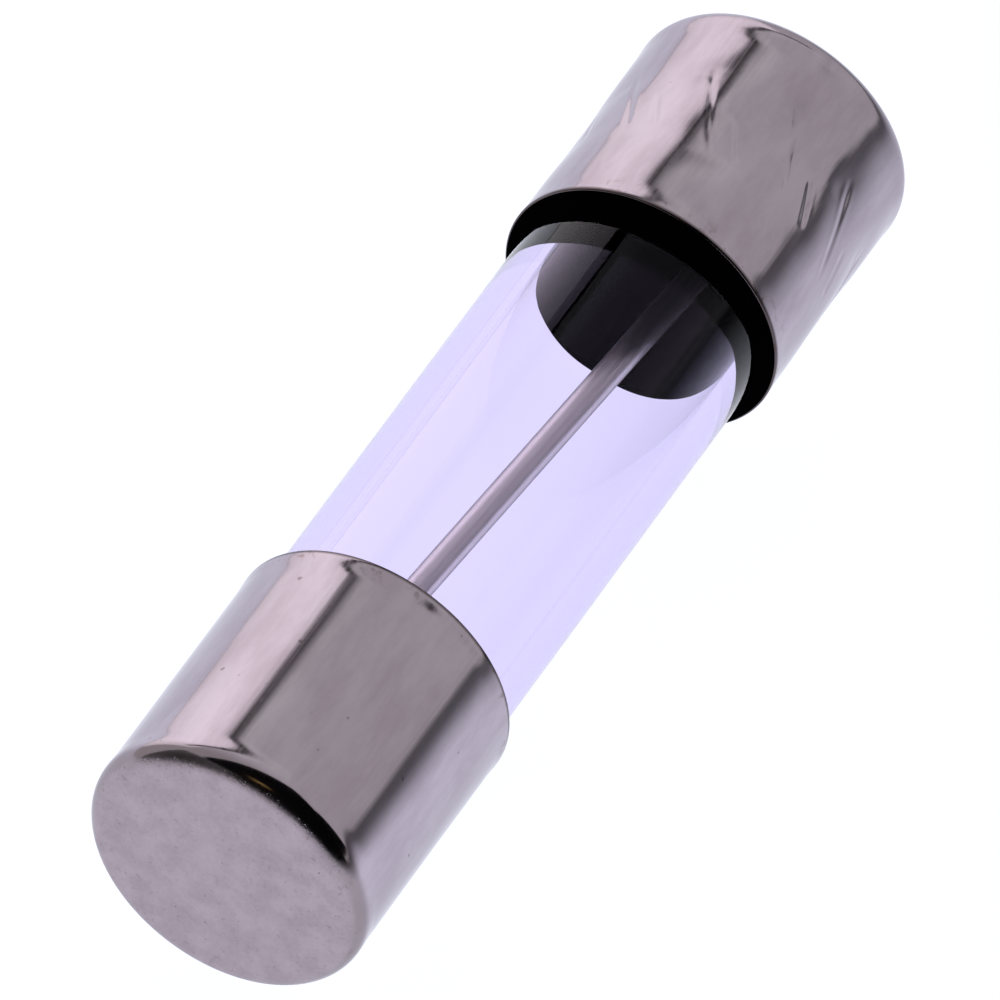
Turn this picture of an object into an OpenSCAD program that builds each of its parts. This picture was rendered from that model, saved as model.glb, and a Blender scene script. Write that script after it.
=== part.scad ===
// Miniature glass cartridge fuse: a glass tube, two pressed metal caps, one fuse wire,
// and the solder and sealing compound that hold them together.
//
// The fuse lies along X with its middle at the origin. The plain cap is at -X and the
// stamped cap at +X. All sizes are in millimetres.

/* [Fuse] */
// Length over both caps
fuse_length = 20; // [18:0.5:32]

/* [End caps] */
// Outside diameter of a cap's barrel
cap_diameter = 5.2; // [5:0.05:6.5]
// Thickness of the cap's sheet metal
cap_wall = 0.2; // [0.15:0.01:0.3]
// Length of the plain cap
plain_cap_length = 5.35; // [4.5:0.05:6.5]
// Length of the stamped cap
stamped_cap_length = 5.05; // [4.5:0.05:6.5]
// Outside radius of the corner between a cap's barrel and its closed face
corner_radius = 0.4; // [0.32:0.01:0.5]
// How far the pressed corner stands proud of the barrel
corner_swell = 0.01; // [0.005:0.005:0.06]
// Length over which the barrel swells out to the corner
swell_length = 0.3; // [0.1:0.05:0.5]
// How far the mouth flares out beyond the barrel
mouth_flare = 0.01; // [0.005:0.005:0.08]
// Length of the flared stretch at the mouth
flare_length = 0.4; // [0.2:0.05:1.2]
// Radius of the rounded metal edge at the mouth
edge_radius = 0.03; // [0.02:0.005:0.06]

/* [Stamped marks] */
// Number of marks around the stamped cap; each is a long stroke, a short stroke and a dimple
mark_count = 10; // [4:1:12]
// Length of the long stroke
long_stroke = 2; // [1.2:0.1:2.2]
// Length of the short stroke
short_stroke = 1; // [0.6:0.1:1.2]
// Width of both strokes
stroke_width = 0.12; // [0.08:0.01:0.2]
// Depth of a mark below the barrel
mark_depth = 0.035; // [0.01:0.005:0.06]
// Slant of a stroke away from the fuse's length, in degrees
stroke_slant = 26; // [0:1:30]
// Diameter of the dimple
dimple_diameter = 0.3; // [0.2:0.05:0.4]

/* [Sealing compound] */
// Thickness of the compound between a cap's barrel and the glass
seal_thickness = 0.075; // [0.05:0.005:0.15]
// How far the compound reaches out of the plain cap, along the glass
plain_seal_creep = 0.05; // [0.02:0.01:0.6]
// How far the compound reaches out of the stamped cap, along the glass
stamped_seal_creep = 0.3; // [0.02:0.01:0.6]

/* [Glass tube] */
// Wall thickness of the glass
glass_wall = 0.5; // [0.35:0.05:0.8]
// Gap between the end of the glass and the inside of the cap's closed face
glass_end_gap = 0.3; // [0.2:0.05:0.6]
// Radius of the fire-polished edges of the glass
glass_edge = 0.12; // [0.05:0.01:0.15]

/* [Fuse wire] */
// Diameter of the wire
wire_diameter = 0.5; // [0.05:0.05:0.6]
// How far the wire is off the tube's axis where it enters a cap's solder
wire_offset = 0.76; // [0:0.02:0.8]

/* [Solder] */
// Depth of the solder that stands in the end of the tube
solder_depth = 0.9; // [0.4:0.1:1.5]
// Height of the solder's domed surface
solder_dome = 0.5; // [0.2:0.1:0.8]

/* [Hidden] */
$fn = 96;

half_length = fuse_length / 2;
cap_radius = cap_diameter / 2;
bore_radius = cap_radius - cap_wall;
corner_reach = cap_radius + corner_swell;
mouth_reach = cap_radius + mouth_flare;
mouth_bore_radius = mouth_reach - 2 * edge_radius;
cavity_end = half_length - cap_wall;

glass_radius = bore_radius - seal_thickness;
glass_bore_radius = glass_radius - glass_wall;
glass_end = cavity_end - glass_end_gap;

wire_end = glass_end + glass_end_gap / 3;
wire_turn = atan2(wire_offset, wire_end);
wire_length = 2 * wire_end / cos(wire_turn);

solder_level = glass_end - solder_depth;
dome_radius = (pow(glass_bore_radius, 2) + pow(solder_dome, 2)) / (2 * solder_dome);

nickel = [0.74, 0.7, 0.73];
clear_glass = [0.87, 0.86, 0.98, 0.35];
tinned_wire = [0.58, 0.55, 0.6];
soft_solder = [0.66, 0.66, 0.68];
black_seal = [0.05, 0.05, 0.06];

// Turns a half section, drawn as distance from the axis against place along it, into a
// solid of revolution about the X axis.
module turned() rotate([0, 90, 0]) rotate_extrude() children();

// The pieces of each end are drawn at +X. This puts them at -X.
module at_plain_end() mirror([1, 0, 0]) children();

// A rectangular stretch of a half section
module band(inner, outer, low, high) translate([inner, low]) square([outer - inner, high - low]);

// Half section of everything inside the cap's outer surface
module cap_outside(mouth) {
    corner_at = half_length - corner_radius;
    polygon([
        [0, mouth], [mouth_reach - edge_radius, mouth], [mouth_reach - edge_radius, mouth + edge_radius],
        [mouth_reach, mouth + edge_radius], [cap_radius, mouth + flare_length],
        [cap_radius, corner_at - swell_length], [corner_reach, corner_at], [0, corner_at]
    ]);
    translate([mouth_reach - edge_radius, mouth + edge_radius]) circle(edge_radius);
    translate([corner_reach - corner_radius, corner_at]) circle(corner_radius);
    band(0, corner_reach - corner_radius, corner_at, half_length);
}

// Half section of the space inside a cap, running out past its mouth
module cap_cavity(mouth) {
    inner_corner = corner_radius - cap_wall;
    polygon([
        [0, mouth], [mouth_bore_radius, mouth], [mouth_bore_radius, mouth + edge_radius],
        [bore_radius, mouth + flare_length], [bore_radius, cavity_end - inner_corner],
        [0, cavity_end - inner_corner]
    ]);
    translate([bore_radius - inner_corner, cavity_end - inner_corner]) circle(inner_corner);
    band(0, bore_radius - inner_corner, cavity_end - inner_corner, cavity_end);
}

module end_cap(length) {
    mouth = half_length - length;
    turned() difference() {
        cap_outside(mouth);
        cap_cavity(mouth);
    }
}

// A cut into the barrel's top: place along the fuse, then place around it, in degrees
module pressed_at(along, around) rotate([around, 0, 0])
    translate([along, 0, cap_radius - mark_depth]) children();

module stroke(length) rotate([0, 0, stroke_slant])
    translate([-length / 2, -stroke_width / 2, 0]) cube([length, stroke_width, 1]);

// A row of slanted strokes and dimples pressed into the middle of the barrel, all the way round
module stamped_marks(length) {
    middle = half_length - length / 2;
    step = 360 / mark_count;
    for (i = [0 : mark_count - 1]) {
        pressed_at(middle, i * step) stroke(long_stroke);
        pressed_at(middle - (long_stroke - short_stroke) / 3, (i + 0.45) * step) stroke(short_stroke);
        pressed_at(middle + short_stroke / 2, (i + 0.7) * step) cylinder(h = 1, d = dimple_diameter);
    }
}

module plain_end_cap() color(nickel) at_plain_end() end_cap(plain_cap_length);

module stamped_end_cap() color(nickel) difference() {
    end_cap(stamped_cap_length);
    stamped_marks(stamped_cap_length);
}

module glass_tube() color(clear_glass) turned() {
    inner = glass_bore_radius;
    outer = glass_radius;
    band(inner, outer, glass_edge - glass_end, glass_end - glass_edge);
    band(inner + glass_edge, outer - glass_edge, -glass_end, glass_end);
    for (edge_at = [glass_edge - glass_end, glass_end - glass_edge], r = [inner + glass_edge, outer - glass_edge])
        translate([r, edge_at]) circle(glass_edge);
}

// The straight wire lies level and crosses the tube's axis at its middle.
module wire_shape() rotate([0, 0, -wire_turn]) rotate([0, 90, 0])
    cylinder(h = wire_length, d = wire_diameter, center = true);

module fuse_wire() color(tinned_wire) wire_shape();

// Solder at the +X end: a domed plug in the tube, and a layer between the glass and the cap
module solder_fill() turned() {
    intersection() {
        band(0, glass_bore_radius, solder_level - solder_dome, glass_end);
        translate([0, solder_level - solder_dome + dome_radius]) circle(dome_radius);
    }
    intersection() {
        band(0, bore_radius, glass_end, cavity_end);
        cap_cavity(0);
    }
}

module plain_end_solder() color(soft_solder) difference() {
    at_plain_end() solder_fill();
    wire_shape();
}

module stamped_end_solder() color(soft_solder) difference() {
    solder_fill();
    wire_shape();
}

// Compound that fills the ring between glass and cap, and creeps out along the glass
module seal_ring(length, creep) {
    mouth = half_length - length;
    turned() polygon([
        [glass_radius, mouth - creep], [mouth_bore_radius, mouth + edge_radius],
        [bore_radius, mouth + flare_length], [bore_radius, glass_end - glass_edge],
        [glass_radius, glass_end - glass_edge]
    ]);
}

module plain_end_seal() color(black_seal) at_plain_end() seal_ring(plain_cap_length, plain_seal_creep);

module stamped_end_seal() color(black_seal) seal_ring(stamped_cap_length, stamped_seal_creep);

glass_tube();
plain_end_cap();
stamped_end_cap();
fuse_wire();
plain_end_solder();
stamped_end_solder();
plain_end_seal();
stamped_end_seal();
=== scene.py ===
"""A miniature glass cartridge fuse: glass tube, two nickel-plated caps, fuse wire, solder and
black sealing compound, on a white table with a painted pool of light, in soft studio light.

The fuse lies along X with its middle at the origin: plain cap at -X, stamped cap at +X.
Shapes are worked out in millimetres and made in metres.
"""
import math

import bmesh
import bpy
import numpy as np
from mathutils import Matrix, Vector


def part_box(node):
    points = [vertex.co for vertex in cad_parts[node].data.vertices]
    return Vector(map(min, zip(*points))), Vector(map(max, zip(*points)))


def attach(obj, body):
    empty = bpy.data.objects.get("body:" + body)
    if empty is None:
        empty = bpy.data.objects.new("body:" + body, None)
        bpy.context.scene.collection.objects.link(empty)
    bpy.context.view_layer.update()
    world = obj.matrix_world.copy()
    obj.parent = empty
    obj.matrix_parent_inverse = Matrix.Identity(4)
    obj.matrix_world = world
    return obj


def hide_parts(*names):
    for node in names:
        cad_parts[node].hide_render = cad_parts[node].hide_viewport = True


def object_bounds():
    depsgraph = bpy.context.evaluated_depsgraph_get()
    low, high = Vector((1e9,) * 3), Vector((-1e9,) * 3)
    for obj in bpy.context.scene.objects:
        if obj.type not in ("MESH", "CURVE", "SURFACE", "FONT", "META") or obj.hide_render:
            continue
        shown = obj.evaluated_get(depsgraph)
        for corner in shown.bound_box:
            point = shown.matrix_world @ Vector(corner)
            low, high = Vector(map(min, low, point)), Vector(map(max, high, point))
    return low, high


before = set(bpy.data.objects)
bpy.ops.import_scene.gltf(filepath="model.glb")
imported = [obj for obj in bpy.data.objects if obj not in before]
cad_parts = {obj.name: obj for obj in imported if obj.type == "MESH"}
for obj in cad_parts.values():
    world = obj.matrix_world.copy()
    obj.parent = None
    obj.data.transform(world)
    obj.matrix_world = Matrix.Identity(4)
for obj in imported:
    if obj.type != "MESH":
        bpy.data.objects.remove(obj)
cad_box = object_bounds()

MM = 0.001

# ---------------------------------------------------------------- sizes, in millimetres


def node_span(node):
    """Where a node starts and ends along X, in millimetres."""
    low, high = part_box(node)
    return low[0] / MM, high[0] / MM


HALF_LENGTH = cad_box[1][0] / MM
PLAIN_MOUTH = -node_span("plain_end_cap")[1]
STAMPED_MOUTH = node_span("stamped_end_cap")[0]
GLASS_END = node_span("glass_tube")[1]
GLASS_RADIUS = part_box("glass_tube")[1][2] / MM
GLASS_WALL = 0.5
GLASS_BORE = GLASS_RADIUS - GLASS_WALL
GLASS_EDGE = 0.12

MOUTH_FLARE = 0.01
CORNER_SWELL = 0.01
CAP_RADIUS = cad_box[1][2] / MM - max(MOUTH_FLARE, CORNER_SWELL)
CAP_WALL = 0.2
CAP_BORE = CAP_RADIUS - CAP_WALL
CORNER_RADIUS = 0.4
SWELL_LENGTH = 0.3
FLARE_LENGTH = 0.4
LIP_RADIUS = 0.03
CORNER_START = HALF_LENGTH - CORNER_RADIUS
INNER_END = HALF_LENGTH - CAP_WALL
INNER_CORNER = CORNER_RADIUS - CAP_WALL

# The barrel waves in and out by UNEVENNESS, and is drawn in by PRESSED_IN to stay in its box.
UNEVENNESS = 0.004
PRESSED_IN = 0.006

WIRE_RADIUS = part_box("fuse_wire")[1][2] / MM
WIRE_END = 9.6
WIRE_OFFSET = 0.76
WIRE_BOW = 0.012
WIRE_DRAWN_IN, WIRE_UNEVENNESS = 0.004, 0.006

# How far solder and compound reach into the glass, so that no gap shows at the bond
WETTING = 0.002
SOLDER_TOP = 8.1
SOLDER_DOME = 0.5
SOLDER_CLIMB, CLIMB_WIDTH = 0.3, 0.12
SOLDER_WRINKLE = 0.02
SEAL_BELOW_LIP = 0.006
SEAL_HOLLOW = 2.2

MARK_COUNT = 10
LONG_STROKE = 2.0
SHORT_STROKE = 1.0
STROKE_WIDTH = 0.12
STROKE_SLANT = math.radians(26)
MARK_DEPTH = 0.035
MARKS_MIDDLE = (HALF_LENGTH + STAMPED_MOUTH) / 2
DIMPLE_RADIUS = 0.15
DENT_WIDTH = 0.45
DENT_PART = 0.6
STROKE_GROOVE_PART, DIMPLE_GROOVE_PART = 0.4, 0.15

# Points round the lip, along the inside and round the inside corner of a cap
LIP_POINTS, INSIDE_POINTS, INNER_CORNER_POINTS = 9, 8, 5

# ---------------------------------------------------------------- camera

VIEW_AZIMUTH, VIEW_ELEVATION = -61.97, 45.97
CAMERA_DISTANCE = 0.4
LENS_MM = 854
AIM_RIGHT, AIM_UP = -0.000056, -0.000111


def towards(azimuth, elevation):
    """Unit vector from the object to a viewer. Azimuth 0 is a viewer at -Y."""
    a, e = math.radians(azimuth), math.radians(elevation)
    return Vector((math.sin(a) * math.cos(e), -math.cos(a) * math.cos(e), math.sin(e)))


def add_camera():
    data = bpy.data.cameras.new("camera")
    data.lens = LENS_MM
    data.clip_start, data.clip_end = 0.01, 10
    camera = bpy.data.objects.new("camera", data)
    back = towards(VIEW_AZIMUTH, VIEW_ELEVATION)
    right = Vector((0, 0, 1)).cross(back).normalized()
    up = back.cross(right)
    turn = Matrix((right, up, back)).transposed()
    camera.rotation_mode = "QUATERNION"
    camera.rotation_quaternion = turn.to_quaternion()
    camera.location = back * CAMERA_DISTANCE + right * AIM_RIGHT + up * AIM_UP
    bpy.context.scene.collection.objects.link(camera)
    bpy.context.scene.camera = camera
    return back


VIEWER = add_camera()

# ---------------------------------------------------------------- node trees


class Tree:
    """Short calls for building one material's nodes."""

    def __init__(self, name):
        self.material = bpy.data.materials.new(name)
        self.material.use_nodes = True
        self.nodes = self.material.node_tree.nodes
        self.links = self.material.node_tree.links
        self.shader = self.nodes["Principled BSDF"]

    def put(self, socket, value):
        """Sets a socket to a number or colour, or links another node's output to it."""
        if isinstance(value, bpy.types.NodeSocket):
            self.links.new(value, socket)
        elif isinstance(value, (tuple, list)) and socket.type == "RGBA" and len(value) == 3:
            socket.default_value = (*value, 1)
        else:
            socket.default_value = value

    def set(self, **values):
        """Sets the shader's sockets. An underscore in a name stands for a space."""
        for name, value in values.items():
            self.put(self.shader.inputs[name.replace("_", " ")], value)

    def node(self, kind, inputs=None, **settings):
        n = self.nodes.new(kind)
        for key, value in settings.items():
            setattr(n, key, value)
        for key, value in (inputs or {}).items():
            self.put(n.inputs[key], value)
        return n

    def maths(self, operation, a, b=0.0, c=0.0):
        return self.node("ShaderNodeMath", {0: a, 1: b, 2: c}, operation=operation).outputs[0]

    def place(self, scale):
        """Object coordinates in millimetres, stretched by scale."""
        coords = self.node("ShaderNodeTexCoord").outputs["Object"]
        size = tuple(s / MM for s in scale)
        return self.node("ShaderNodeMapping", {"Vector": coords, "Scale": size}).outputs[0]

    def noise(self, scale, detail=2.0, roughness=0.5):
        inputs = {"Vector": self.place(scale), "Scale": 1.0, "Detail": detail, "Roughness": roughness}
        return self.node("ShaderNodeTexNoise", inputs).outputs["Fac"]

    def spread(self, value, low, high, out_low=0.0, out_high=1.0):
        """Goes smoothly from out_low to out_high as value goes from low to high."""
        inputs = {"Value": value, "From Min": low, "From Max": high,
                  "To Min": out_low, "To Max": out_high}
        return self.node("ShaderNodeMapRange", inputs, interpolation_type="SMOOTHSTEP").outputs[0]

    def mix(self, factor, a, b):
        n = self.node("ShaderNodeMix", data_type="RGBA")
        self.put(n.inputs["Factor"], factor)
        self.put(n.inputs["A"], a)
        self.put(n.inputs["B"], b)
        return n.outputs["Result"]

    def bump(self, height, depth_mm, under=None):
        """A bump of height 0 to 1 that is depth_mm deep, on top of the bump under it."""
        inputs = {"Height": height, "Strength": 1.0, "Distance": depth_mm * MM}
        if under is not None:
            inputs["Normal"] = under
        return self.node("ShaderNodeBump", inputs).outputs[0]

    def length(self, vector):
        return self.node("ShaderNodeVectorMath", {0: vector}, operation="LENGTH").outputs["Value"]

    def along(self):
        """Distance from the middle of the fuse along X, in millimetres."""
        return self.length(self.place((1, 0, 0)))

    def off_axis(self):
        """Distance from the fuse's axis, in millimetres."""
        return self.length(self.place((0, 1, 1)))

    def blend(self, factor, a, b):
        """A number that goes from a to b."""
        n = self.node("ShaderNodeMix", data_type="FLOAT")
        for index, value in enumerate((factor, a, b)):
            socket = [i for i in n.inputs if i.enabled][index]
            self.put(socket, value)
        return [o for o in n.outputs if o.enabled][0]


# ---------------------------------------------------------------- stage and light

FLOOR_HALF = 2.0
LIGHT_DISTANCE = 1.0
PANEL_BLACK = (0.01, 0.01, 0.01)
PAPER_WHITE = (1.0, 0.94, 0.97)
PAPER_TURN = -83  # where the back light and its paper stand, for barrel_sees
LAMP_AMBER = (1.0, 0.7, 0.25)
TABLE_GREY, TABLE_GLOW = (0.15, 0.15, 0.15), (0.97, 1.0, 1.12)
ROOM_COLOUR, ROOM_STRENGTH = (1.0, 0.97, 1.0), 0.65

# Painted pool of light: the table glows fully up to POOL_EDGE millimetres to the viewer's right of
# the fuse.
# Past that its glow falls off over about POOL_FADE millimetres, down to the share POOL_LEAST.
POOL_EDGE, POOL_FADE, POOL_LEAST = 8, 14, 0.1


def barrel_sees(turn):
    """What a cap's barrel mirrors, seen from the camera: the direction that its surface shows
    where it faces turn / 2 degrees past the line that is nearest the viewer. Positive is -Y."""
    across = Vector((0, VIEWER.y, VIEWER.z))
    facing = across.normalized()
    sideways = Vector((1, 0, 0)).cross(facing)
    angle = math.radians(turn)
    ring = facing * math.cos(angle) + sideways * math.sin(angle)
    return (Vector((-VIEWER.x, 0, 0)) + ring * across.length).normalized()


def facing_origin(obj, place):
    """Puts obj at place with its -Z axis towards the origin and its Y axis as upright as it goes."""
    obj.location = place
    obj.rotation_mode = "QUATERNION"
    obj.rotation_quaternion = (-place).to_track_quat("-Z", "Y")
    bpy.context.scene.collection.objects.link(obj)


def add_softbox(name, direction, width, height, radiance, colour):
    data = bpy.data.lights.new(name, "AREA")
    data.shape = "RECTANGLE"
    data.size, data.size_y = width, height
    data.energy = radiance * math.pi * width * height
    data.color = colour
    facing_origin(bpy.data.objects.new(name, data), direction * LIGHT_DISTANCE)


def add_panel(name, direction, distance, width, height, middle=0.0, edge=0.0, colour=(1, 1, 1)):
    """A flat panel that stands round the object for the metal to mirror. It is black, or glows
    with radiance middle, fading to edge at its ends."""
    mesh = bpy.data.meshes.new(name)
    x, y = width / 2, height / 2
    mesh.from_pydata([(-x, -y, 0), (x, -y, 0), (x, y, 0), (-x, y, 0)], [], [(0, 1, 2, 3)])
    t = Tree(name)
    off_centre = t.length(t.place((MM / x, MM / y, 0)))
    t.set(Base_Color=PANEL_BLACK, Roughness=0.9, Specular_IOR_Level=0.0, Emission_Color=colour,
          Emission_Strength=t.spread(off_centre, 0.0, 1.2, middle, edge))
    mesh.materials.append(t.material)
    panel = bpy.data.objects.new(name, mesh)
    facing_origin(panel, direction.normalized() * distance)


def add_floor():
    """A white table that glows with a painted pool of light: bright round the fuse and to the
    viewer's left, fading out on the right.
    """
    mesh = bpy.data.meshes.new("floor")
    h, z = FLOOR_HALF, cad_box[0][2]
    mesh.from_pydata([(-h, -h, z), (h, -h, z), (h, h, z), (-h, h, z)], [], [(0, 1, 2, 3)])
    t = Tree("table_with_painted_glow")
    right = Vector((0, 0, 1)).cross(VIEWER).normalized()
    rightwards = t.node("ShaderNodeVectorMath", {0: t.place((1, 1, 0)), 1: right},
                        operation="DOT_PRODUCT")
    past_edge = t.maths("MAXIMUM", t.maths("SUBTRACT", rightwards.outputs["Value"], POOL_EDGE), 0.0)
    fade = t.maths("EXPONENT", t.maths("DIVIDE", past_edge, -POOL_FADE))
    t.set(Base_Color=TABLE_GREY, Roughness=0.8, Specular_IOR_Level=0.0,
          Emission_Color=TABLE_GLOW,
          Emission_Strength=t.maths("MULTIPLY_ADD", fade, 1 - POOL_LEAST, POOL_LEAST))
    mesh.materials.append(t.material)
    floor = bpy.data.objects.new("floor", mesh)
    bpy.context.scene.collection.objects.link(floor)


def add_world():
    world = bpy.data.worlds.new("studio")
    world.use_nodes = True
    background = world.node_tree.nodes["Background"]
    background.inputs["Color"].default_value = (*ROOM_COLOUR, 1)
    background.inputs["Strength"].default_value = ROOM_STRENGTH
    bpy.context.scene.world = world


bpy.context.scene.view_settings.view_transform = "Standard"
add_world()
add_floor()
add_softbox("back_light", barrel_sees(PAPER_TURN), width=0.9, height=0.84, radiance=0.45,
            colour=PAPER_WHITE)
add_panel("back_paper", barrel_sees(PAPER_TURN), distance=1.01, width=0.9, height=0.84,
          middle=1.08, edge=0.85, colour=PAPER_WHITE)
add_panel("gap_over_paper", barrel_sees(-53), distance=0.95, width=1.1, height=0.085)
add_panel("far_room", barrel_sees(65), distance=0.95, width=1.0, height=0.16,
          middle=0.1, edge=0.6)
add_panel("light_strip", barrel_sees(-41), distance=0.95, width=1.1, height=0.1,
          middle=0.78, edge=0.68)
add_panel("left_top", Vector((-0.61, 0.68, 0.41)), distance=0.6, width=0.6, height=0.45,
          middle=0.05, edge=0.15)
add_panel("right_side", Vector((0.21, -0.92, 0.34)), distance=0.62, width=0.36, height=0.36)
add_panel("camera_side", Vector((-0.5, -0.45, 0.7)), distance=0.6, width=1.7, height=1.5)
add_panel("warm_lamp", Vector((-0.6, -0.1, 0.79)), distance=0.59, width=0.16, height=0.1,
          middle=0.5, edge=0.1, colour=LAMP_AMBER)

# ---------------------------------------------------------------- materials


def nickel(name, mouth, corner_shade_share):
    """Nickel plating: draw lines and faint stains along the barrel, a duller grained and pitted
    end face, painted shade on the rounded corner, brown specks round the face's edge, and a brown
    lip."""
    t = Tree(name)
    x, r = t.along(), t.off_axis()
    face = t.spread(x, HALF_LENGTH - 0.15, HALF_LENGTH - 0.04)
    draw_lines = t.noise((0.12, 14, 14), 3.0, 0.6)
    stains = t.noise((0.5, 1.6, 1.6), 4.0, 0.65)
    grain = t.noise((11, 11, 11), 4.0, 0.75)
    cloud = t.noise((1.8, 1.8, 1.8), 3.0, 0.6)
    pits = t.spread(t.noise((8, 8, 8), 2.0), 0.33, 0.29)
    specks = t.spread(t.noise((5.5, 5.5, 5.5), 1.0), 0.77, 0.81)
    near_edge = t.maths("MULTIPLY", t.spread(x, HALF_LENGTH - 0.3, HALF_LENGTH - 0.1),
                        t.spread(r, 1.7, 2.3))
    edge_specks = t.maths("MULTIPLY", near_edge,
                          t.spread(t.noise((6.5, 6.5, 6.5), 3.0, 0.6), 0.6, 0.68))
    # Painted shade: the rounded corner at the closed end is darkened, by the share
    # corner_shade_share.
    painted_corner_shade = t.spread(x, CORNER_START - 0.02, CORNER_START + 0.15, 0.0, corner_shade_share)
    rim = t.spread(x, mouth + 0.1, mouth + 0.03)
    worn = t.maths("MULTIPLY", t.spread(x, mouth + 0.5, mouth + 0.05),
                   t.spread(t.noise((4.5, 4.5, 4.5), 3.0), 0.58, 0.7))
    barrel = t.mix(t.spread(stains, 0.3, 0.7), (0.4, 0.345, 0.39), (0.47, 0.415, 0.465))
    end = t.mix(t.spread(cloud, 0.3, 0.7), (0.33, 0.275, 0.3), (0.4, 0.335, 0.365))
    end = t.mix(t.spread(grain, 0.35, 0.65, 0.0, 0.25), end, (0.55, 0.47, 0.5))
    colour = t.mix(face, t.mix(painted_corner_shade, barrel, (0.24, 0.2, 0.205)), end)
    brown, dark_brown = (0.17, 0.12, 0.1), (0.05, 0.035, 0.03)
    colour = t.mix(t.maths("MULTIPLY", edge_specks, 0.3), colour, brown)
    colour = t.mix(t.maths("MULTIPLY", worn, 0.5), colour, brown)
    colour = t.mix(t.maths("MULTIPLY", rim, 0.85), colour, dark_brown)
    colour = t.mix(t.maths("MULTIPLY", specks, 0.45), colour, dark_brown)
    rough = t.blend(face, t.spread(draw_lines, 0.3, 0.7, 0.1, 0.15),
                    t.spread(grain, 0.3, 0.7, 0.28, 0.42))
    fine = t.bump(draw_lines, 0.0006)
    relief = t.maths("ADD", t.maths("MULTIPLY", grain, 0.7), t.maths("MULTIPLY", pits, -0.5))
    t.set(Base_Color=colour, Metallic=1.0, Roughness=rough, Specular_Tint=(0.86, 0.86, 0.86),
          Normal=t.bump(t.maths("MULTIPLY", relief, face), 0.012, fine))
    return t.material


def clear_glass():
    """Clear tube glass with a faint lavender cast all through it and very faint drawing streaks.
    Light from lamps passes through it, so that it throws no hard shadow."""
    t = Tree("tube_glass")
    streaks = t.noise((0.05, 1.6, 1.6), 2.0)
    smears = t.noise((0.5, 0.9, 0.9), 3.0)
    t.set(Base_Color=(0.99, 0.99, 1.0), Transmission_Weight=1.0, IOR=1.5,
          Specular_IOR_Level=0.25, Specular_Tint=(0.07, 0.065, 0.11),
          Roughness=t.spread(smears, 0.5, 0.8, 0.0, 0.02), Normal=t.bump(streaks, 0.0008))
    shadow = t.node("ShaderNodeLightPath").outputs["Is Shadow Ray"]
    clear = t.node("ShaderNodeBsdfTransparent", {"Color": (0.98, 0.98, 0.98)}).outputs[0]
    mixed = t.node("ShaderNodeMixShader", {0: shadow, 1: t.shader.outputs[0], 2: clear})
    cast = t.node("ShaderNodeVolumeAbsorption", {"Color": (0.27, 0.02, 0.79), "Density": 320.0})
    output = t.nodes["Material Output"]
    t.put(output.inputs["Surface"], mixed.outputs[0])
    t.put(output.inputs["Volume"], cast.outputs[0])
    return t.material


def tinned_wire():
    """Tinned copper wire, dulled to satin, with fine drawing lines along it."""
    t = Tree("tinned_wire")
    lines = t.noise((0.3, 22, 22), 3.0, 0.65)
    dull = t.noise((1.2, 5, 5), 3.0)
    colour = t.mix(dull, (0.8, 0.76, 0.73), (0.92, 0.88, 0.84))
    colour = t.mix(t.spread(lines, 0.6, 0.35, 0.0, 0.2), colour, (0.5, 0.47, 0.46))
    t.set(Base_Color=colour, Metallic=1.0, Roughness=t.spread(lines, 0.3, 0.7, 0.32, 0.42),
          Specular_Tint=(0.15, 0.15, 0.15), Normal=t.bump(lines, 0.0015))
    return t.material


def soft_solder():
    """Soft solder, slightly wrinkled, with flux residue; its dull dark grey is painted shade for the
    unlit inside of the cap.
    """
    t = Tree("soft_solder")
    dull = t.noise((2.2, 2.2, 2.2), 3.0)
    wrinkles = t.noise((6, 6, 6), 4.0, 0.6)
    # Painted shade: the solder is made this dark to stand in for the shade inside the cap.
    colour = t.mix(dull, (0.05, 0.048, 0.052), (0.12, 0.115, 0.12))
    t.set(Base_Color=colour, Metallic=1.0, Roughness=t.spread(dull, 0.3, 0.7, 0.22, 0.45),
          Normal=t.bump(wrinkles, 0.01))
    return t.material


def black_seal():
    """Black sealing compound, matte, with a slightly grainy skin; its near black is partly painted
    shade for the dark gap between glass and cap.
    """
    t = Tree("black_seal")
    grain = t.noise((9, 9, 9), 3.0)
    tone = t.noise((1.5, 1.5, 1.5), 2.0)
    # Partly painted shade: the compound is made near black to stand in for the dark gap and the unlit
    # inside of the cap.
    t.set(Base_Color=t.mix(tone, (0.0005, 0.0005, 0.0008), (0.002, 0.002, 0.0025)),
          Roughness=t.spread(grain, 0.3, 0.7, 0.55, 0.75), Specular_IOR_Level=0.0,
          Normal=t.bump(grain, 0.006))
    return t.material


# ---------------------------------------------------------------- shapes


def smooth(t):
    """0 to 1, level at both ends."""
    t = np.clip(t, 0.0, 1.0)
    return t * t * (3 - 2 * t)


def arc(centre_x, centre_r, radius, start, end, count):
    """Points on an arc, as (x, r). Angle 0 points away from the axis, 90 towards +X."""
    angles = np.radians(np.linspace(start, end, count))
    return np.stack([centre_x + radius * np.sin(angles), centre_r + radius * np.cos(angles)], 1)


def angles(columns):
    """Even angles round the fuse, one for each column. 0 is +Z and 90 degrees is -Y."""
    return np.arange(columns)[None, :] * 2 * math.pi / columns


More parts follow.
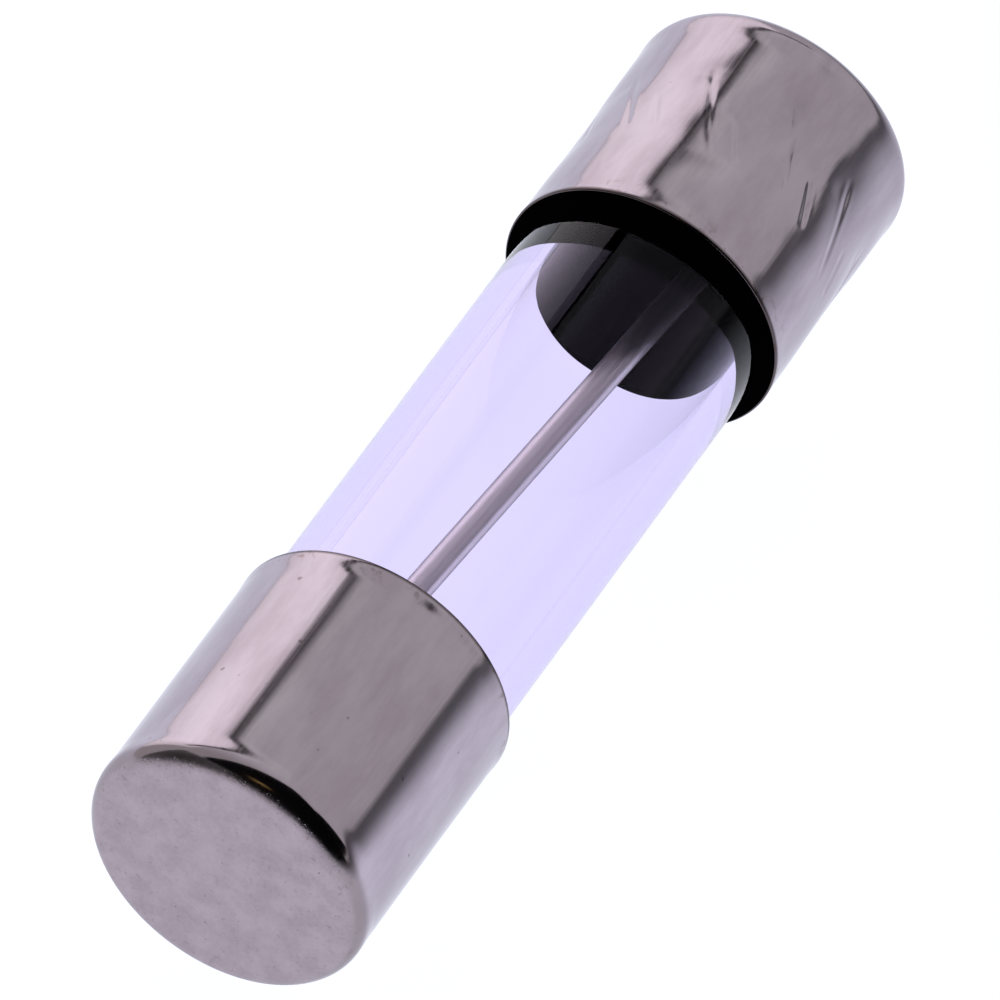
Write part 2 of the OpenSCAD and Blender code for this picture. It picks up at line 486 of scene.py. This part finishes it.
def make_piece(name, points, faces):
    """A smooth-shaded object from points in millimetres, with its normals outwards."""
    mesh = bpy.data.meshes.new(name)
    mesh.from_pydata(points * MM, [], faces)
    shape = bmesh.new()
    shape.from_mesh(mesh)
    bmesh.ops.remove_doubles(shape, verts=shape.verts, dist=1e-9)
    bmesh.ops.recalc_face_normals(shape, faces=shape.faces)
    for face in shape.faces:
        face.smooth = len(face.verts) <= 4
    shape.to_mesh(mesh)
    shape.free()
    piece = bpy.data.objects.new(name, mesh)
    bpy.context.scene.collection.objects.link(piece)
    return piece


def tube_quads(index):
    """Quads between neighbouring rows and columns of a grid of points that closes on itself."""
    ahead = np.roll(index, -1, 1)
    return np.stack([index[:-1], index[1:], ahead[1:], ahead[:-1]], -1).reshape(-1, 4)


def wrap(name, x, r, columns, ring=False):
    """A solid round the X axis from x and r in millimetres: a row for each point of its outline
    and a column for each angle. A ring's outline closes on itself; any other starts and ends on
    the axis."""
    angle = angles(columns)
    x, r = np.broadcast_arrays(x + 0 * angle, r + 0 * angle)
    grid = np.stack([x, -r * np.sin(angle), r * np.cos(angle)], 2)
    index = np.arange(x.size).reshape(x.shape)
    if ring:
        index = np.concatenate([index, index[:1]])
    return make_piece(name, grid.reshape(-1, 3), tube_quads(index))


def revolve(name, profile, columns, offset=None, ring=False):
    """A solid of revolution from (x, r) points, with offset(x, angle) added along the normal."""
    profile = np.asarray(profile, float)
    x, r = profile[:, :1], profile[:, 1:]
    if offset is not None:
        step = np.gradient(profile, axis=0)
        step /= np.linalg.norm(step, axis=1)[:, None]
        out = offset(x, angles(columns))
        x, r = x + out * step[:, 1:], r - out * step[:, :1]
    return wrap(name, x, r, columns, ring)


def finish_piece(piece, node, material):
    """Gives a piece its material, and puts it in place of its CAD node."""
    piece.data.materials.append(material)
    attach(piece, "root")
    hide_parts(node)


def outer_radius(x, mouth):
    """The barrel's outer radius at x: flared at the mouth, swollen at the corner."""
    flare = MOUTH_FLARE * smooth((mouth + FLARE_LENGTH - x) / (FLARE_LENGTH - LIP_RADIUS))
    swell_start = CORNER_START - SWELL_LENGTH
    return CAP_RADIUS + flare + CORNER_SWELL * smooth((x - swell_start) / SWELL_LENGTH)


def bore_radius(x, mouth):
    """The barrel's inner radius at x. The metal thins towards the mouth's lip."""
    flare = CAP_RADIUS + MOUTH_FLARE - 2 * LIP_RADIUS - CAP_BORE
    return CAP_BORE + flare * smooth((mouth + FLARE_LENGTH - x) / (FLARE_LENGTH - LIP_RADIUS))


def inside_corner():
    """The rounded corner of the space inside a cap."""
    return arc(INNER_END - INNER_CORNER, CAP_BORE - INNER_CORNER, INNER_CORNER,
               0, 90, INNER_CORNER_POINTS)


def cap_profile(mouth, spacing):
    """Outline of a cap from the middle of its closed face over the outside, round the lip and
    back along the inside. spacing(x) is the distance between points on the barrel."""
    flat = CAP_RADIUS + CORNER_SWELL - CORNER_RADIUS
    face_r = np.concatenate([[0.0], np.geomspace(0.05, flat, 16)])[:-1]
    face = np.stack([np.full_like(face_r, HALF_LENGTH), face_r], 1)
    places = [CORNER_START]
    while places[-1] - spacing(places[-1]) > mouth + LIP_RADIUS:
        places.append(places[-1] - spacing(places[-1]))
    places = np.array(places[1:])
    barrel = np.stack([places, outer_radius(places, mouth)], 1)
    lip_r = CAP_RADIUS + MOUTH_FLARE - LIP_RADIUS
    flared_x = mouth + LIP_RADIUS + np.linspace(0.1, FLARE_LENGTH, INSIDE_POINTS - 1)
    inside_x = np.concatenate([flared_x, [INNER_END - INNER_CORNER - 0.05]])
    inside = np.stack([inside_x, bore_radius(inside_x, mouth)], 1)
    return np.concatenate([
        face,
        arc(CORNER_START, flat, CORNER_RADIUS, 90, 0, 15),
        barrel,
        arc(mouth + LIP_RADIUS, lip_r, LIP_RADIUS, 0, -180, LIP_POINTS),
        inside,
        inside_corner(),
        [[INNER_END, 0.0]],
    ])


def hand_pressed(x, angle, seed):
    """The slight unevenness of a pressed barrel, in millimetres."""
    wave = 0.0
    for i, (lobes, length) in enumerate([(2, 9.0), (3, 6.0), (5, 4.0), (7, 2.6)]):
        phase = seed * (1.7 + i) + 2.1 * i
        wave = wave + np.sin(lobes * angle + 2 * math.pi * x / length + phase) / (lobes + 1)
    return UNEVENNESS * wave


def stroke_depth(x, angle, middle, around, length, width, slant, groove_part):
    """How deep a straight pressed stroke is at each point. It runs out at its ends, and has a low
    burr beside it and a wide shallow dent round it."""
    along = x - middle
    across = CAP_RADIUS * ((angle - around + math.pi) % (2 * math.pi) - math.pi)
    run = along * math.cos(slant) - across * math.sin(slant)
    side = along * math.sin(slant) + across * math.cos(slant)
    reach = np.hypot(np.maximum(np.abs(run) - (length - width) / 2, 0), side)
    run_out = smooth(((length + width) / 2 - np.abs(run)) / (0.3 * length))
    groove = np.exp(-(reach / (width * 0.5)) ** 2)
    burr = np.exp(-((reach - width) / (width * 0.4)) ** 2)
    dent = np.exp(-(reach / DENT_WIDTH) ** 2)
    return -MARK_DEPTH * (groove_part * run_out * (groove - 0.2 * burr) + DENT_PART * dent)


def stamped(x, angle):
    """Depth of the row of strokes and dimples on the stamped cap."""
    step = 2 * math.pi / MARK_COUNT
    dimple = 2 * DIMPLE_RADIUS
    short_at = MARKS_MIDDLE - (LONG_STROKE - SHORT_STROKE) / 3
    style = (STROKE_WIDTH, STROKE_SLANT, STROKE_GROOVE_PART)
    marks = [
        (MARKS_MIDDLE, 0.0, LONG_STROKE, *style),
        (short_at, 0.45, SHORT_STROKE, *style),
        (MARKS_MIDDLE + SHORT_STROKE / 2, 0.7, dimple, dimple, 0.0, DIMPLE_GROOVE_PART),
    ]
    return sum(stroke_depth(x, angle, place, (i + turn) * step, *shape)
               for i in range(MARK_COUNT) for place, turn, *shape in marks)


def mirrored(profile, sign):
    """Profile moved to the -X end when sign is -1."""
    profile = np.array(profile, float)
    profile[:, 0] *= sign
    return profile


def make_cap(name, mouth, sign, columns, spacing, marks, seed):
    """A cap whose barrel is uneven, and stamped if marks is true, away from its corner and lip."""
    profile = mirrored(cap_profile(mouth, spacing), sign)
    inside_rows = LIP_POINTS + INSIDE_POINTS + INNER_CORNER_POINTS + 1
    outside_rows = len(profile) - inside_rows

    def offset(x, angle):
        x = np.abs(x)
        rows = np.arange(len(profile))[:, None]
        outside = (rows < outside_rows) & (x < CORNER_START)
        ends = smooth((x - mouth - 0.05) / 0.3) * smooth((CORNER_START - x) / 0.3)
        shape = hand_pressed(x, angle, seed) - PRESSED_IN
        if marks:
            shape = shape + stamped(x, angle)
        return np.where(outside, shape * ends, 0.0) * sign

    return revolve(name, profile, columns, offset)


def even(x):
    """Distance between points on a plain barrel, the same at every x."""
    return 0.06


def fine_over_marks(x):
    """Distance between points on the stamped barrel at x: small where the marks are."""
    return 0.034 if abs(x - MARKS_MIDDLE) < LONG_STROKE / 2 + 0.1 else 0.12


def make_glass():
    edge, inner, outer = GLASS_EDGE, GLASS_BORE, GLASS_RADIUS
    ends = np.linspace(-1, 1, 25)[1:-1] * (GLASS_END - edge)
    top = np.stack([ends, np.full_like(ends, outer)], 1)
    bottom = np.stack([ends[::-1], np.full_like(ends, inner)], 1)
    profile = np.concatenate([
        arc(edge - GLASS_END, outer - edge, edge, -90, 0, 6), top,
        arc(GLASS_END - edge, outer - edge, edge, 0, 90, 6),
        arc(GLASS_END - edge, inner + edge, edge, 90, 180, 6), bottom,
        arc(edge - GLASS_END, inner + edge, edge, 180, 270, 6),
    ])
    return revolve("glass", profile, 256, ring=True)


def wire_centre(x):
    """Where the wire's middle is at x: one slanted line, with the slightest bow."""
    side = -WIRE_OFFSET * x / WIRE_END
    bow = WIRE_BOW * np.sin(math.pi * x / WIRE_END)
    return side, bow


def make_wire():
    rows, columns = 161, 48
    x = np.linspace(-WIRE_END, WIRE_END, rows)[:, None]
    angle = angles(columns)
    side, bow = wire_centre(x)
    waves = np.sin(3 * angle + 0.9 * x)
    radius = (WIRE_RADIUS - WIRE_DRAWN_IN) * (1 + WIRE_UNEVENNESS * waves)
    y, z = side - radius * np.sin(angle), bow + radius * np.cos(angle)
    grid = np.stack(np.broadcast_arrays(x + 0 * angle, y, z), 2)
    index = np.arange(rows * columns).reshape(rows, columns)
    faces = [tuple(q) for q in tube_quads(index)] + [tuple(index[0][::-1]), tuple(index[-1])]
    return make_piece("wire", grid.reshape(-1, 3), faces)


def make_solder(name, sign):
    """A domed plug that climbs the wire a little, over a layer between the glass and the cap."""
    r = np.linspace(0, GLASS_BORE + WETTING, 36)
    dome = SOLDER_TOP + SOLDER_DOME * (r / GLASS_BORE) ** 2
    top = np.stack([dome, r], 1)
    profile = np.concatenate([
        top,
        [[GLASS_END, GLASS_BORE + WETTING], [GLASS_END, CAP_BORE]],
        inside_corner(),
        [[INNER_END, 0.0]],
    ])
    profile = mirrored(profile, sign)
    domed = np.arange(len(profile))[:, None] < len(r)
    radii = profile[:, 1:]

    def offset(x, angle):
        side, _ = wire_centre(sign * SOLDER_TOP)
        y, z = -radii * np.sin(angle), radii * np.cos(angle)
        from_wire = np.hypot(y - side, z) - WIRE_RADIUS
        climb = SOLDER_CLIMB * np.exp(-np.maximum(from_wire, 0) / CLIMB_WIDTH)
        wrinkle = SOLDER_WRINKLE * np.sin(3 * angle + 4 * radii) * (radii / GLASS_BORE)
        fade = smooth((GLASS_BORE - radii) / 0.2)
        return np.where(domed, (climb + wrinkle) * fade, 0.0) * -sign

    return revolve(name, profile, 96, offset)


def seal_creep(angle, least, most):
    """How far the compound has crept onto the glass: furthest where it was laid on, at the top."""
    ripple = 0.03 * np.sin(3 * angle + 0.4) + 0.02 * np.sin(7 * angle)
    return least + (most - least) * (0.5 + 0.5 * np.cos(angle + 0.4)) + ripple * (most - least)


def make_seal(name, mouth, sign, least, most):
    """The compound's ring: it covers the inner edge of the lip and thins out along the glass. It
    wets the glass, so it reaches a hair's breadth into it."""
    columns = 256
    skin = GLASS_RADIUS - WETTING
    lip_r = CAP_RADIUS + MOUTH_FLARE - LIP_RADIUS
    t = np.linspace(0, 1, 18)[:, None]
    start = mouth - seal_creep(angles(columns), least, most)
    face_x = start + (mouth - SEAL_BELOW_LIP - start) * t
    face_r = skin + (lip_r - skin) * t ** SEAL_HOLLOW + 0 * face_x
    deep = np.linspace(mouth + LIP_RADIUS, mouth + FLARE_LENGTH, 8)
    back = GLASS_END - GLASS_EDGE
    steps = np.linspace(back, mouth + 0.1, 12)
    rest_x = np.concatenate([deep, [back], steps])[:, None]
    rest_r = np.concatenate([bore_radius(deep, mouth), [CAP_BORE], 0 * steps + skin])[:, None]
    x = np.concatenate([face_x, rest_x + 0 * face_x[:1]])
    r = np.concatenate([face_r, rest_r + 0 * face_x[:1]])
    return wrap(name, sign * x, r, columns, ring=True)


barrel_parts = [
    # The last number in each row is the share of painted shade on that cap's rounded corner.
    ("plain_cap", "plain_end_cap", PLAIN_MOUTH, -1, 256, even, False, 1.0, 0.7),
    ("stamped_cap", "stamped_end_cap", STAMPED_MOUTH, 1, 720, fine_over_marks, True, 2.3, 0.15),
]
for name, node, mouth, sign, columns, spacing, marks, seed, corner_shade_share in barrel_parts:
    cap = make_cap(name, mouth, sign, columns, spacing, marks, seed)
    finish_piece(cap, node, nickel("nickel_" + name, mouth, corner_shade_share))

finish_piece(make_glass(), "glass_tube", clear_glass())
finish_piece(make_wire(), "fuse_wire", tinned_wire())
solder, seal = soft_solder(), black_seal()
ends = (("plain", PLAIN_MOUTH, -1, 0.02, 0.08), ("stamped", STAMPED_MOUTH, 1, 0.15, 0.6))
for end, mouth, sign, least, most in ends:
    finish_piece(make_solder(end + "_solder", sign), end + "_end_solder", solder)
    ring = make_seal(end + "_seal", mouth, sign, least, most)
    finish_piece(ring, end + "_end_seal", seal)
